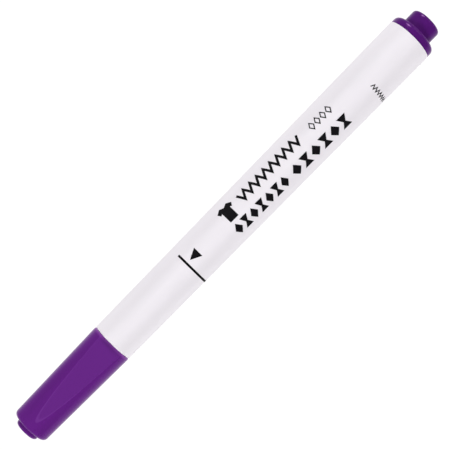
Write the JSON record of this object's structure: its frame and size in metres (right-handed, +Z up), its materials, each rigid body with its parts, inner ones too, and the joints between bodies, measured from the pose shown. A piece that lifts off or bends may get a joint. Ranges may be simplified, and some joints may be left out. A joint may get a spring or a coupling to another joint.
{
  "type": "fabric marking pen",
  "caption": "Capped fabric marking pen: tapered round barrel, fibre nib and ink reservoir, stepped tail plug and a pull-off cap with a flat along one side.",
  "frame": {"origin": "centre of the bounding box's underside: under the middle of the pen's length, on the surface that it lies on", "axes": "+X along the pen towards its tail plug, -X towards the nib and cap, +Z up; the cap's flat faces up, turned 2.5 degrees towards -Y"},
  "size_m": [0.1362, 0.0122, 0.0121],
  "materials": {
    "barrel_plastic": "satin moulded",
    "section_plastic": "satin moulded",
    "nib_fibre": "bonded fibre, ink soaked",
    "reservoir_fibre": "polyester fibre, ink soaked",
    "reservoir_wrap": "clear film",
    "plug_plastic": "semi-gloss moulded",
    "cap_plastic": "semi-gloss moulded",
    "liner_plastic": "matte moulded"
  },
  "bodies": {
    "pen": {"barrel": "barrel_plastic", "front_section": "section_plastic", "nib": "nib_fibre", "reservoir_core": "reservoir_fibre", "reservoir_film": "reservoir_wrap", "tail_plug": "plug_plastic"},
    "cap": {"cap": "cap_plastic", "cap_liner": "liner_plastic"}
  },
  "joints": [
    {"name": "cap_slide", "type": "slide", "parent": "pen", "child": "cap", "axis": [-1, 0, 0], "range_m": [0, 0.045]}
  ]
}
